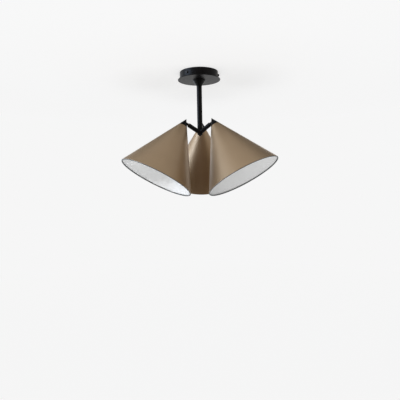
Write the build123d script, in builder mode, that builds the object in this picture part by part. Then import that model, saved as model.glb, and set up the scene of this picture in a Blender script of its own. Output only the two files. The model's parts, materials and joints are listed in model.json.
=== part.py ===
from build123d import *
from math import cos, radians, sin, tan
import os

# Three-cone ceiling light: a round canopy, a straight stem, a hub with three rising arms,
# and three pointed cone shades, each turning on a friction swivel at the end of its arm.
# Lengths are in millimetres, angles in degrees. The origin is the centre of the ceiling face,
# +Z points up into the ceiling, and the viewer stands on the -Y side.

# Layout of the three arms
arm_azimuth_angles = {"left": 210, "right": 330, "back": 90}
head_turn_angles = {"left": 3, "right": 3, "back": 5}  # how far each head stands turned about its arm
arm_rise_angle = 30  # above the horizontal; the cone's axis is square to its arm
hub_centre_depth = 176.0  # below the ceiling, where the arms' axes meet
arm_reach = 56.0  # from there along the arm to the cone's axis
tip_overhang = 12.2  # the cone's point stands this far beyond the arm's axis

# Shade: a spun cone with a flat top and a rolled rim
cone_half_angle = 28.7
shade_slant = 226.4  # from the point of the cone to the rim
shade_wall = 1.2
rim_bead_radius = 1.8
cap_height = 24.0  # the black point that the shade hangs from

# Canopy
drum_radius = 56.5
drum_depth = 21.0
drum_wall = 1.2
drum_floor = 1.5
disc_radius = 62.5
disc_thickness = 2.0
disc_edge_radius = 0.8

# Ceiling plate, with slots for two ceiling screws, and the angle lugs that take the side screws
plate_gap = 5.3  # from the plate's edge to the drum's inner wall
plate_thickness = 1.5
slot_inset = 15.0  # from the plate's edge to a slot's centre
slot_length = 14.0
slot_radius = 2.4
entry_offset = 26.0
entry_radius = 9.0
lug_azimuth_angles = (0, 120, 240)
lug_width = 14.0
lug_bottom_depth = 17.0
lug_gap = 0.9  # from the lug's outer face to the drum's inner wall
lug_bend_radius = 1.0
lug_thickness = 1.5
lug_lap = 6.0  # how far the lug's foot reaches in under the plate

# Side screws and the earth screw
side_screw_depth = 11.0
side_screw_radius = 1.95
side_screw_head_radius = 3.4
side_screw_head_height = 3.2
side_screw_slot_width = 0.9
side_screw_slot_depth = 1.0
side_screw_reach = 8.0
side_screw_hole_gap = 0.3
screw_seat_gap = 0.05
thread_gap = 0.05
earth_screw_offset = 20.0
earth_screw_radius = 1.95
earth_screw_length = 7.0
earth_screw_head_radius = 3.8
earth_screw_head_height = 2.6

# Terminal block, hung under the plate, with three ways side by side
way_shares = (-1, 0, 1)  # of the spacing between the ways
groove_shares = (-0.5, 0.5)
way_spacing = 8.0
block_width = 26.0
block_length = 17.0
block_height = 12.5
block_inset = 11.5  # from the plate's edge to the block's back
block_edge_radius = 1.0
block_groove_width = 2.0
block_groove_depth = 3.5
way_depth = 7.5  # the ways' axes, below the ceiling
way_radius = 2.6
clamp_gap = 0.1
clamp_bore_radius = 1.8
clamp_screw_radius = 1.5
clamp_screw_sink = 1.0  # the clamp screw's head stays this far inside its well
clamp_well_radius = 1.9

# Stem, its collar and the threaded nipple that clamps the canopy between them
stem_radius = 7.75
stem_bore_radius = 5.05
nipple_radius = 5.0
nipple_bore_radius = 3.8
nipple_hole_gap = 0.2
collar_top_radius = 18.6
collar_height = 16.0
collar_edge = 1.0
collar_lip = 0.7
collar_seat_depth = 4.0  # the stem's end stops this far below the collar's top
stem_gap = 0.1
nipple_engagement = 12.0
nipple_projection = 1.5  # above the lock nut
washer_thickness = 1.0
washer_radius = 9.5
nut_thickness = 3.5
nut_across_flats = 14.0

# Hub and finial
hub_top_rise = 14.0  # the stem's lower end, above the arms' meeting point
hub_bottom_drop = 4.2
hub_spigot_length = 10.0
hub_arm_bore_start = 3.0
boss_start = 4.0
finial_edge = 0.8
finial_height = 6.0
finial_tip_radius = 1.0
finial_stud_radius = 2.0
finial_stud_length = 3.0
finial_hole_spare = 0.3

# Arms
arm_radius = 6.25
arm_bore_radius = 4.5
arm_start = 14.0  # along the arm's axis from the hub's centre
swivel_standoff = 13.5  # from the arm's outer end to the cone's axis
arm_spigot_share = 0.3  # of the arm tube's length
arm_spigot_bore_radius = 3.4
arm_end_chamfer = 0.8

# Friction swivel at each arm's end
bush_share = 0.37  # of the arm tube's length
journal_radius = 3.0
journal_fit = 0.05
swivel_face_gap = 0.1
swivel_nut_length = 2.9
swivel_nut_radius = 4.2
journal_tail = 0.6
neck_radius = 4.0
neck_stop = 3.5  # the neck ends this far short of the cone's axis
neck_bore_radius = 1.8
braze_gap = 0.03

# Internal leads
lead_radius = 1.6
lead_offset = 1.95  # from the stem's axis, so that three leads lie side by side
lead_hub_bend_radius = 3.4
lead_canopy_bend_radius = 5.0
lead_fan_bend_radius = 6.0
lead_fan_distance = 10.0
lead_grip_length = 5.0  # how far a lead reaches into its clamp
lead_split_gap = 1.5  # from where the fixed lead meets the turning one to the neck's tail
lead_chamber_radius = 2.9
lead_chamber_top = 10.2

# Lampholder, measured along the cone's axis from its point
shade_nipple_top = 16.8
shade_nipple_end = 37.0
holder_top = 31.0
holder_boss_radius = 7.5
holder_boss_end = 35.0
holder_radius = 17.5
holder_shoulder = 43.0
holder_skirt_start = 55.0
holder_end = 87.0
holder_wall = 1.5
holder_ledge = 47.0
holder_ledge_radius = 12.0
holder_throat_radius = 7.0
holder_throat_end = 40.0
holder_edge_radius = 0.6
core_flange_height = 4.0
core_end = 59.0
core_groove_width = 3.0
core_groove_depth = 2.0
skirt_bore_radius = 14.4
holder_fit = 0.1
contact_shell_radius = 13.9
contact_wall = 0.6
contact_shell_end = 85.0
contact_pad_radius = 4.0
contact_pad_height = 1.0
contact_tip_radius = 2.0
contact_tip_height = 1.0

# Bulb: an opal glass globe on a screw base
bulb_radius = 30.0
bulb_end = 167.0
bulb_neck_radius = 12.2
bulb_flare_angle = 40
glass_wall = 1.0
glass_start = 77.0
base_end = 89.0
base_radius = 13.0
base_wall = 0.6
base_shoulder_radius = 9.5
base_shoulder = 65.5
base_tip_radius = 3.2
base_thread_start = 67.0

overrun = 1.0  # how far a cut runs past the face it opens

# Places that follow from the sizes above
hub_centre_z = -hub_centre_depth
drum_bottom_z = -drum_depth
drum_floor_z = drum_bottom_z + drum_floor
disc_bottom_z = drum_bottom_z - disc_thickness
drum_inner_radius = drum_radius - drum_wall
plate_radius = drum_inner_radius - plate_gap
slot_spacing = 2 * (plate_radius - slot_inset)
block_centre_offset = plate_radius - block_inset - block_length / 2
stem_top_z = disc_bottom_z - collar_seat_depth
hub_top_z = hub_centre_z + hub_top_rise
hub_bottom_z = hub_centre_z - hub_bottom_drop
nut_bottom_z = drum_floor_z + washer_thickness
nipple_top_z = nut_bottom_z + nut_thickness + nipple_projection
spigot_radius = stem_bore_radius - thread_gap
arm_spigot_radius = arm_bore_radius - thread_gap
arm_end = arm_reach - swivel_standoff
arm_spigot_length = arm_spigot_share * (arm_end - arm_start)
bush_length = bush_share * (arm_end - arm_start)
bush_start = arm_end - bush_length
shoulder_place = arm_end + swivel_face_gap
swivel_nut_end = bush_start - swivel_face_gap
swivel_nut_start = swivel_nut_end - swivel_nut_length
journal_start = swivel_nut_start - journal_tail
lead_split = journal_start - lead_split_gap
neck_end = arm_reach - neck_stop
cap_radius = cap_height * tan(radians(cone_half_angle))
core_flange_end = holder_ledge + core_flange_height
core_radius = skirt_bore_radius - holder_fit
tip_contact = core_end + contact_pad_height + contact_tip_height


# Plane through a frame's axis: its x is the radius and its y runs along the axis.
def side_view(frame):
    return Plane(frame.origin, x_dir=frame.x_dir, z_dir=-frame.y_dir)


# A piece turned on a lathe about a frame's axis, from (radius, place along the axis) corners.
def turned(frame, corners):
    with BuildPart() as piece:
        with BuildSketch(side_view(frame)):
            with BuildLine():
                Polyline(*corners, close=True)
            make_face()
        revolve(axis=Axis(frame.origin, frame.z_dir))
    return piece.part


# A plain ring or tube about a frame's axis.
def ring(frame, inner, outer, start, end):
    return turned(frame, [(inner, start), (outer, start), (outer, end), (inner, end)])


# A round lead along straight runs joined by arcs.
def round_lead(route, bend_radii):
    with BuildPart() as lead:
        with BuildLine():
            path = FilletPolyline(*route, radius=bend_radii)
        with BuildSketch(Plane(path @ 0, z_dir=path % 0)):
            Circle(lead_radius)
        sweep()
    return lead.part


def save(part, name):
    part.label = name
    export_step(part, f"parts/{name}.step")
    print(f"{name}: {len(part.solids())} solid(s), {part.volume:.0f} mm3")


# Frame of an arm: z runs out along the arm from the hub's centre, y is the upper side.
def arm_frame(side):
    azimuth, rise = radians(arm_azimuth_angles[side]), radians(arm_rise_angle)
    outwards = Vector(cos(azimuth) * cos(rise), sin(azimuth) * cos(rise), sin(rise))
    sideways = Vector(-sin(azimuth), cos(azimuth), 0)
    return Plane((0, 0, hub_centre_z), x_dir=sideways, z_dir=outwards)


# Frame of a head: the origin is the cone's point, z runs down its axis, x is the arm's direction.
def head_frame(side):
    arm = arm_frame(side)
    downwards = (-arm.y_dir).rotate(Axis((0, 0, 0), arm.z_dir), head_turn_angles[side])
    point = arm.origin + arm.z_dir * arm_reach - downwards * tip_overhang
    return Plane(point, x_dir=arm.z_dir, z_dir=downwards)


# Plane that looks square at a radius of the canopy: x is the radius, y is up.
def radial_view(azimuth):
    outwards = Vector(cos(radians(azimuth)), sin(radians(azimuth)), 0)
    return Plane((0, 0, 0), x_dir=outwards, z_dir=outwards.cross(Vector(0, 0, 1)))


# Plane facing outwards at a given radius and height of the canopy's side.
def side_face(azimuth, radius, height):
    outwards = Vector(cos(radians(azimuth)), sin(radians(azimuth)), 0)
    return Plane(outwards * radius + Vector(0, 0, height), x_dir=(0, 0, 1), z_dir=outwards)


# Ceiling plate: a flat disc with its slots, entry hole and earth screw hole.
def make_ceiling_plate():
    with BuildPart() as plate:
        with BuildSketch(Plane.XY.offset(-plate_thickness)):
            Circle(plate_radius)
            with Locations((0, -entry_offset)):
                Circle(entry_radius, mode=Mode.SUBTRACT)
            with Locations((-slot_spacing / 2, 0), (slot_spacing / 2, 0)):
                SlotOverall(slot_length, 2 * slot_radius, mode=Mode.SUBTRACT)
            with Locations((-earth_screw_offset, -earth_screw_offset)):
                Circle(earth_screw_radius + thread_gap, mode=Mode.SUBTRACT)
        extrude(amount=plate_thickness)
    save(plate.part, "ceiling_plate")


# Bent angle lugs, welded under the plate's edge, one for each side screw.
def make_side_lugs():
    lug_face = drum_inner_radius - lug_gap
    lug_middle = lug_face - lug_thickness / 2
    foot_z = -plate_thickness - lug_thickness / 2
    with BuildPart() as lugs:
        for azimuth in lug_azimuth_angles:
            with BuildSketch(radial_view(azimuth)):
                with BuildLine():
                    FilletPolyline(
                        (plate_radius - lug_lap, foot_z),
                        (lug_middle, foot_z),
                        (lug_middle, -lug_bottom_depth),
                        radius=lug_bend_radius + lug_thickness / 2,
                    )
                trace(line_width=lug_thickness)
            extrude(amount=lug_width / 2, both=True)
            with BuildSketch(side_face(azimuth, lug_face + overrun, -side_screw_depth)):
                Circle(side_screw_radius + thread_gap)
            extrude(amount=-(lug_thickness + 2 * overrun), mode=Mode.SUBTRACT)
    save(lugs.part, "side_lugs")


# Drum of the canopy, open towards the ceiling, with its three screw holes.
def make_canopy_cup():
    centre_hole = nipple_radius + nipple_hole_gap
    with BuildPart() as cup:
        with BuildSketch(side_view(Plane.XY)):
            with BuildLine():
                Polyline(
                    (centre_hole, drum_bottom_z),
                    (drum_radius, drum_bottom_z),
                    (drum_radius, 0),
                    (drum_inner_radius, 0),
                    (drum_inner_radius, drum_floor_z),
                    (centre_hole, drum_floor_z),
                    close=True,
                )
            make_face()
        revolve(axis=Axis.Z)
        for azimuth in lug_azimuth_angles:
            with BuildSketch(side_face(azimuth, drum_radius + overrun, -side_screw_depth)):
                Circle(side_screw_radius + side_screw_hole_gap)
            extrude(amount=-(drum_wall + 2 * overrun), mode=Mode.SUBTRACT)
    save(cup.part, "canopy_cup")


# Wider disc that closes the drum from below.
def make_canopy_disc():
    with BuildPart() as disc:
        with BuildSketch(Plane.XY.offset(disc_bottom_z)):
            Circle(disc_radius)
            Circle(nipple_radius + nipple_hole_gap, mode=Mode.SUBTRACT)
        extrude(amount=disc_thickness)
        rim = disc.edges().filter_by(GeomType.CIRCLE).sort_by(SortBy.LENGTH)[-2:]
        fillet(rim, radius=disc_edge_radius)
    save(disc.part, "canopy_disc")


# Three round-headed side screws with a driver slot.
def make_canopy_screws():
    seat = drum_radius + screw_seat_gap
    slot_floor = seat + side_screw_head_height - side_screw_slot_depth
    with BuildPart() as screws:
        for azimuth in lug_azimuth_angles:
            with BuildSketch(side_face(azimuth, seat, -side_screw_depth)):
                Circle(side_screw_head_radius)
            extrude(amount=side_screw_head_height)
            with BuildSketch(side_face(azimuth, seat, -side_screw_depth)):
                Circle(side_screw_radius)
            extrude(amount=-side_screw_reach)
            with BuildSketch(side_face(azimuth, slot_floor, -side_screw_depth)):
                Rectangle(2 * side_screw_head_radius + overrun, side_screw_slot_width)
            extrude(amount=side_screw_slot_depth + overrun, mode=Mode.SUBTRACT)
    save(screws.part, "canopy_screws")


# Earth screw, up through the ceiling plate from below.
def make_earth_screw():
    seat_z = -plate_thickness
    with BuildPart() as screw:
        with BuildSketch(Plane.XY.offset(seat_z - earth_screw_length + plate_thickness)):
            with Locations((-earth_screw_offset, -earth_screw_offset)):
                Circle(earth_screw_radius)
        extrude(amount=earth_screw_length)
        with BuildSketch(Plane.XY.offset(seat_z - earth_screw_head_height)):
            with Locations((-earth_screw_offset, -earth_screw_offset)):
                Circle(earth_screw_head_radius)
        extrude(amount=earth_screw_head_height)
    save(screw.part, "earth_screw")


# Terminal block: three ways through it, a clamp screw's well under each, grooves between.
def make_terminal_block():
    block_bottom_z = -plate_thickness - block_height
    centre = (0, block_centre_offset)
    ways = [(share * way_spacing, block_centre_offset) for share in way_shares]
    grooves = [(share * way_spacing, block_centre_offset) for share in groove_shares]
    front = Plane((0, block_centre_offset - block_length / 2, -way_depth), x_dir=(1, 0, 0), z_dir=(0, 1, 0))
    with BuildPart() as block:
        with BuildSketch(Plane.XY.offset(block_bottom_z)):
            with Locations(centre):
                RectangleRounded(block_width, block_length, block_edge_radius)
        extrude(amount=block_height)
        with BuildSketch(Plane.XY.offset(block_bottom_z)):
            with Locations(*grooves):
                Rectangle(block_groove_width, block_length + overrun)
        extrude(amount=block_groove_depth, mode=Mode.SUBTRACT)
        with BuildSketch(front):
            with Locations((-way_spacing, 0), (0, 0), (way_spacing, 0)):
                Circle(way_radius)
        extrude(amount=block_length, mode=Mode.SUBTRACT)
        with BuildSketch(Plane.XY.offset(block_bottom_z)):
            with Locations(*ways):
                Circle(clamp_well_radius)
        extrude(amount=-way_depth - block_bottom_z, mode=Mode.SUBTRACT)
    save(block.part, "terminal_block")

    # Brass clamps: a tube in each way, with its screw standing in the well.
    clamp_radius = way_radius - clamp_gap
    screw_bottom_z = block_bottom_z + clamp_screw_sink
    with BuildPart() as clamps:
        with BuildSketch(front):
            with Locations((-way_spacing, 0), (0, 0), (way_spacing, 0)):
                Circle(clamp_radius)
        extrude(amount=block_length)
        with BuildSketch(Plane.XY.offset(screw_bottom_z)):
            with Locations(*ways):
                Circle(clamp_screw_radius)
        extrude(amount=-way_depth - screw_bottom_z)
        with BuildSketch(front):
            with Locations((-way_spacing, 0), (0, 0), (way_spacing, 0)):
                Circle(clamp_bore_radius)
        extrude(amount=block_length, mode=Mode.SUBTRACT)
    save(clamps.part, "terminal_clamps")


# Conical collar under the disc: the stem's end seats in it.
def make_stem_collar():
    lip_radius = stem_radius + stem_gap + collar_lip
    collar_bottom_z = disc_bottom_z - collar_height
    corners = [
        (nipple_radius + nipple_hole_gap, disc_bottom_z),
        (collar_top_radius, disc_bottom_z),
        (collar_top_radius, disc_bottom_z - collar_edge),
        (lip_radius, collar_bottom_z),
        (stem_radius + stem_gap, collar_bottom_z),
        (stem_radius + stem_gap, stem_top_z),
        (nipple_radius + nipple_hole_gap, stem_top_z),
    ]
    save(turned(Plane.XY, corners), "stem_collar")


def make_stem():
    save(ring(Plane.XY, stem_bore_radius, stem_radius, hub_top_z, stem_top_z), "stem")
    nipple_bottom_z = stem_top_z - nipple_engagement
    nipple = ring(Plane.XY, nipple_bore_radius, nipple_radius, nipple_bottom_z, nipple_top_z)
    save(nipple, "stem_nipple")
    washer = ring(Plane.XY, nipple_radius + thread_gap, washer_radius, drum_floor_z, nut_bottom_z)
    save(washer, "stem_washer")


# Thin hexagonal lock nut for a lamp nipple, on any frame.
def lock_nut(frame, start):
    with BuildPart() as nut:
        with BuildSketch(frame.offset(start)):
            RegularPolygon(nut_across_flats / 2, 6, major_radius=False)
            Circle(nipple_radius + thread_gap, mode=Mode.SUBTRACT)
        extrude(amount=nut_thickness)
    return nut.part


# Hub: the stem's foot, with three bosses that the arms screw onto, drilled for the leads.
def make_hub():
    with BuildPart() as hub:
        with BuildSketch(Plane.XY.offset(hub_bottom_z)):
            Circle(stem_radius)
        extrude(amount=hub_top_z - hub_bottom_z)
        with BuildSketch(Plane.XY.offset(hub_top_z)):
            Circle(spigot_radius)
        extrude(amount=hub_spigot_length)
        for side in arm_azimuth_angles:
            with BuildSketch(arm_frame(side).offset(boss_start)):
                Circle(arm_radius)
            extrude(amount=arm_start - boss_start)
            with BuildSketch(arm_frame(side).offset(arm_start)):
                Circle(arm_spigot_radius)
            extrude(amount=arm_spigot_length)
        with BuildSketch(Plane.XY.offset(hub_centre_z)):
            Circle(nipple_bore_radius)
        extrude(amount=hub_top_rise + hub_spigot_length, mode=Mode.SUBTRACT)
        for side in arm_azimuth_angles:
            with BuildSketch(arm_frame(side).offset(hub_arm_bore_start)):
                Circle(arm_spigot_bore_radius)
            extrude(amount=arm_start + arm_spigot_length - hub_arm_bore_start, mode=Mode.SUBTRACT)
        with BuildSketch(Plane.XY.offset(hub_bottom_z)):
            Circle(finial_stud_radius + thread_gap)
        extrude(amount=finial_stud_length + finial_hole_spare, mode=Mode.SUBTRACT)
    save(hub.part, "hub")


# Pointed end piece, screwed into the hub from below.
def make_finial():
    corners = [
        (0, hub_bottom_z + finial_stud_length),
        (finial_stud_radius, hub_bottom_z + finial_stud_length),
        (finial_stud_radius, hub_bottom_z),
        (stem_radius, hub_bottom_z),
        (stem_radius, hub_bottom_z - finial_edge),
        (finial_tip_radius, hub_bottom_z - finial_height),
        (0, hub_bottom_z - finial_height),
    ]
    save(turned(Plane.XY, corners), "finial")


# Arm tube, chamfered at its outer end.
def make_arm(side):
    corners = [
        (arm_bore_radius, arm_start),
        (arm_radius, arm_start),
        (arm_radius, arm_end - arm_end_chamfer),
        (arm_radius - arm_end_chamfer, arm_end),
        (arm_bore_radius, arm_end),
    ]
    save(turned(arm_frame(side), corners), f"{side}_arm")


# Bushes that the necks turn in, one in each arm's end.
def make_swivel_bushes():
    with BuildPart() as bushes:
        for side in arm_azimuth_angles:
            with BuildSketch(arm_frame(side).offset(bush_start)):
                Circle(arm_bore_radius - thread_gap)
                Circle(journal_radius + journal_fit, mode=Mode.SUBTRACT)
            extrude(amount=bush_length)
    save(bushes.part, "swivel_bushes")


# Fixed leads: from each terminal down the stem, round in the hub and out along an arm.
def make_branch_leads():
    clamp_mouth = block_centre_offset - block_length / 2
    ways = {"left": -way_spacing, "back": 0, "right": way_spacing}
    leads = []
    for side, way in ways.items():
        azimuth = radians(arm_azimuth_angles[side])
        x, y = lead_offset * cos(azimuth), lead_offset * sin(azimuth)
        corner_z = hub_centre_z + lead_offset * tan(radians(arm_rise_angle))
        route = [(way, clamp_mouth + lead_grip_length, -way_depth)]
        bends = []
        if way != 0:
            route.append((way, lead_fan_distance, -way_depth))
            bends.append(lead_fan_bend_radius)
        route.append((x, y, -way_depth))
        route.append((x, y, corner_z))
        route.append(tuple(arm_frame(side).offset(lead_split).origin))
        bends += [lead_canopy_bend_radius, lead_hub_bend_radius]
        leads.append(round_lead(route, bends))
    save(Compound(children=leads), "branch_leads")


# Turning half of the swivel: a neck whose journal runs in the bush, and its lock nut.
def make_neck(side):
    arm = arm_frame(side)
    corners = [
        (neck_bore_radius, journal_start),
        (journal_radius, journal_start),
        (journal_radius, shoulder_place),
        (neck_radius, shoulder_place),
        (neck_radius, neck_end),
        (neck_bore_radius, neck_end),
    ]
    save(turned(arm, corners), f"{side}_neck")
    nut = ring(arm, journal_radius + thread_gap, swivel_nut_radius, swivel_nut_start, swivel_nut_end)
    save(nut, f"{side}_swivel_nut")


# Cap: the solid point of the cone, bored for the neck, the lead and the nipple.
def make_cap(side):
    arm, head = arm_frame(side), head_frame(side)
    with BuildPart() as cap:
        with BuildSketch(side_view(head)):
            with BuildLine():
                Polyline((0, 0), (cap_radius, cap_height), (0, cap_height), close=True)
            make_face()
        revolve(axis=Axis(head.origin, head.z_dir))
        with BuildSketch(arm.offset(neck_end)):
            Circle(neck_radius + braze_gap)
        extrude(amount=-cap_radius, mode=Mode.SUBTRACT)
        with BuildSketch(arm.offset(neck_end - overrun)):
            Circle(neck_bore_radius)
        extrude(amount=neck_stop + overrun, mode=Mode.SUBTRACT)
        with BuildSketch(head.offset(lead_chamber_top)):
            Circle(lead_chamber_radius)
        extrude(amount=cap_height - lead_chamber_top, mode=Mode.SUBTRACT)
        with BuildSketch(head.offset(shade_nipple_top)):
            Circle(nipple_radius + thread_gap)
        extrude(amount=cap_height - shade_nipple_top, mode=Mode.SUBTRACT)
    save(cap.part, f"{side}_cap")


# Shade: a thin cone with a flat top under the cap and a bead rolled inwards at the rim.
def make_shade(side):
    head = head_frame(side)
    half = radians(cone_half_angle)
    inner_drop = shade_wall / sin(half)  # along the axis, from the outer cone to the inner one
    inner_top = cap_height + shade_wall
    wall_end = shade_slant - rim_bead_radius  # along the slant, where the wall runs into the bead
    outer_end = (wall_end * sin(half), wall_end * cos(half))
    inner_end = (outer_end[0] - shade_wall * cos(half), outer_end[1] + shade_wall * sin(half))
    bead_centre = (
        outer_end[0] - rim_bead_radius * cos(half),
        outer_end[1] + rim_bead_radius * sin(half),
    )
    with BuildPart() as shade:
        with BuildSketch(side_view(head)):
            with BuildLine():
                Polyline(
                    (nipple_radius + nipple_hole_gap, cap_height),
                    (cap_radius, cap_height),
                    outer_end,
                    inner_end,
                    ((inner_top - inner_drop) * tan(half), inner_top),
                    (nipple_radius + nipple_hole_gap, inner_top),
                    close=True,
                )
            make_face()
            with Locations(bead_centre):
                Circle(rim_bead_radius)
        revolve(axis=Axis(head.origin, head.z_dir))
    save(shade.part, f"{side}_shade")


# Nipple and lock nut that hang the shade and the lampholder from the cap.
def make_shade_fixing(side):
    head = head_frame(side)
    nipple = ring(head, nipple_bore_radius, nipple_radius, shade_nipple_top, shade_nipple_end)
    save(nipple, f"{side}_shade_nipple")
    save(lock_nut(head, cap_height + shade_wall), f"{side}_shade_nut")


# Lampholder: a domed cap, an insulating core, an outer skirt and the live contacts.
def make_lampholder(side):
    head = head_frame(side)
    inner_radius = holder_radius - holder_wall
    cap_corners = [
        (nipple_radius + thread_gap, holder_top),
        (holder_boss_radius, holder_top),
        (holder_boss_radius, holder_boss_end),
        (holder_radius, holder_shoulder),
        (holder_radius, holder_skirt_start),
        (inner_radius, holder_skirt_start),
        (inner_radius, holder_ledge),
        (holder_ledge_radius, holder_ledge),
        (holder_throat_radius, holder_throat_end),
        (holder_throat_radius, shade_nipple_end),
        (nipple_radius + thread_gap, shade_nipple_end),
    ]
    save(turned(head, cap_corners), f"{side}_holder_cap")

    spigot = inner_radius - holder_fit
    with BuildPart() as skirt:
        with BuildSketch(side_view(head)):
            with BuildLine():
                Polyline(
                    (skirt_bore_radius, core_flange_end),
                    (spigot, core_flange_end),
                    (spigot, holder_skirt_start),
                    (holder_radius, holder_skirt_start),
                    (holder_radius, holder_end),
                    (skirt_bore_radius, holder_end),
                    close=True,
                )
            make_face()
        revolve(axis=Axis(head.origin, head.z_dir))
        mouth = skirt.faces().sort_by(Axis(head.origin, head.z_dir))[-1]
        fillet(mouth.edges(), radius=holder_edge_radius)
    save(skirt.part, f"{side}_holder_skirt")

    with BuildPart() as core:
        with BuildSketch(head.offset(holder_ledge)):
            Circle(spigot)
        extrude(amount=core_flange_height)
        with BuildSketch(head.offset(core_flange_end)):
            Circle(core_radius)
        extrude(amount=core_end - core_flange_end)
        with BuildSketch(head.offset(holder_ledge)):
            with PolarLocations(spigot, 2):
                Rectangle(2 * core_groove_depth, core_groove_width)
        extrude(amount=core_end - holder_ledge, mode=Mode.SUBTRACT)
    save(core.part, f"{side}_holder_core")

    with BuildPart() as contacts:
        with BuildSketch(head.offset(core_end)):
            Circle(contact_shell_radius)
            Circle(contact_shell_radius - contact_wall, mode=Mode.SUBTRACT)
        extrude(amount=contact_shell_end - core_end)
        with BuildSketch(head.offset(core_end)):
            Circle(contact_pad_radius)
        extrude(amount=contact_pad_height)
        with BuildSketch(head.offset(core_end + contact_pad_height)):
            Circle(contact_tip_radius)
        extrude(amount=contact_tip_height)
    save(contacts.part, f"{side}_holder_contacts")


# Half outline of the globe, drawn inside its outer face by the given amount.
def globe_outline(inset, start):
    flare = radians(bulb_flare_angle)
    centre = bulb_end - bulb_radius
    flare_radius = (bulb_radius * cos(flare) - bulb_neck_radius) / (1 - cos(flare))
    ball, hollow = bulb_radius - inset, flare_radius + inset
    neck = bulb_neck_radius - inset
    neck_place = centre - (bulb_radius + flare_radius) * sin(flare)
    flare_centre = (bulb_neck_radius + flare_radius, neck_place)
    CenterArc((0, centre), ball, 90, -90 - bulb_flare_angle)
    CenterArc(flare_centre, hollow, 180 - bulb_flare_angle, bulb_flare_angle)
    Polyline((neck, neck_place), (neck, start), (0, start), (0, centre + ball))


# Bulb: a thin opal globe whose neck sits in a screw base.
def make_bulb(side):
    head = head_frame(side)
    with BuildPart() as glass:
        with BuildSketch(side_view(head)):
            with BuildLine():
                globe_outline(0, glass_start)
            make_face()
        revolve(axis=Axis(head.origin, head.z_dir))
        with BuildSketch(side_view(head)):
            with BuildLine():
                globe_outline(glass_wall, glass_start - overrun)
            make_face()
        revolve(axis=Axis(head.origin, head.z_dir), mode=Mode.SUBTRACT)
    save(glass.part, f"{side}_bulb_glass")

    base_corners = [
        (0, tip_contact),
        (base_tip_radius, tip_contact),
        (base_shoulder_radius, base_shoulder),
        (base_radius, base_thread_start),
        (base_radius, base_end),
        (base_radius - base_wall, base_end),
        (base_radius - base_wall, base_thread_start + base_wall),
        (base_shoulder_radius, base_shoulder + base_wall),
        (base_tip_radius, tip_contact + base_wall),
        (0, tip_contact + base_wall),
    ]
    save(turned(head, base_corners), f"{side}_bulb_base")


# Turning lead: from the middle of the arm through the neck, down to the lampholder.
def make_head_lead(side):
    arm, head = arm_frame(side), head_frame(side)
    route = [
        tuple(arm.offset(lead_split).origin),
        tuple(arm.offset(arm_reach).origin),
        tuple(head.offset(holder_ledge).origin),
    ]
    save(round_lead(route, [neck_stop]), f"{side}_head_lead")


os.makedirs("parts", exist_ok=True)
make_ceiling_plate()
make_side_lugs()
make_canopy_cup()
make_canopy_disc()
make_canopy_screws()
make_earth_screw()
make_terminal_block()
make_stem_collar()
make_stem()
save(lock_nut(Plane.XY, nut_bottom_z), "stem_nut")
make_hub()
make_finial()
make_swivel_bushes()
make_branch_leads()
for side in arm_azimuth_angles:
    make_arm(side)
    make_neck(side)
    make_cap(side)
    make_shade(side)
    make_shade_fixing(side)
    make_lampholder(side)
    make_bulb(side)
    make_head_lead(side)
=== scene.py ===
import bmesh
import bpy
import json
from math import cos, degrees, pi, radians, sin, tan
from mathutils import Matrix, Vector


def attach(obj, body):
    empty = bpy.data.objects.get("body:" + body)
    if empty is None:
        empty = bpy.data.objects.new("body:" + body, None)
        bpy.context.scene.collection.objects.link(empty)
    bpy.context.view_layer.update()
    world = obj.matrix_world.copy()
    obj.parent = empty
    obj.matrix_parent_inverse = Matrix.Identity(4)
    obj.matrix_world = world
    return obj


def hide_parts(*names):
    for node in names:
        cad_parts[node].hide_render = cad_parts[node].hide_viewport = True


# Three-cone ceiling light: a black canopy, stem and arms, and three satin bronze cones with white insides.
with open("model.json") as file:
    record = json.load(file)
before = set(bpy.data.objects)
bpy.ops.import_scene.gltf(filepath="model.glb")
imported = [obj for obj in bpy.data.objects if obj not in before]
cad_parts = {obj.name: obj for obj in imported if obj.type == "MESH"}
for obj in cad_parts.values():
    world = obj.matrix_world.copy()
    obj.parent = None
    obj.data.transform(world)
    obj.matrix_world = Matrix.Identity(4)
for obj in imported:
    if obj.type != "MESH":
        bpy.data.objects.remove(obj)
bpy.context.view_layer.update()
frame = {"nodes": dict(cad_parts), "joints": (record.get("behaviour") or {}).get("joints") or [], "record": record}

mm = 0.001  # every size in the dictionaries below is in millimetres
weldDistance = 1e-6
scene = bpy.context.scene
print("frame loaded:", len(frame["nodes"]), "nodes")

# Where the arms and the cones stand
layout = {
    "armReach": 56,        # from the hub's centre to the cone's axis
    "pointOverhang": 12.2,   # the cone's point beyond the arm's axis
    "headTurns": {"left": 3, "right": 3, "back": 5},
}
sides = tuple(layout["headTurns"])
coneAngle = radians(28.7)


def armPlace(side):
    # z runs out along the arm from the hub's centre, y is its upper side
    joint = next(j for j in frame["joints"] if j["name"] == side + "_swivel")
    along = Vector(joint["axis"]).normalized()
    sideways = Vector((0, 0, 1)).cross(along).normalized()
    upper = along.cross(sideways)
    place = Matrix((sideways, upper, along)).transposed().to_4x4()
    place.translation = Vector(joint["pos_m"])
    return place


def headPlace(side):
    # z runs down the cone's axis from its point, x is the arm's direction
    arm = armPlace(side)
    along, upper = arm.col[2].to_3d(), arm.col[1].to_3d()
    down = Matrix.Rotation(radians(layout["headTurns"][side]), 3, along) @ -upper
    place = Matrix((along, down.cross(along), down)).transposed().to_4x4()
    place.translation = arm.translation + (along * layout["armReach"] - down * layout["pointOverhang"]) * mm
    return place


# Camera at the photograph's angle
viewpoint = {
    "place": (128.1, -1067.4, -305.6), "yaw": -7.058, "pitch": -3.801, "roll": -1.082,
    "lens": 32.109, "sensorWidth": 36, "clipStart": 0.01, "clipEnd": 60,
}


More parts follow.
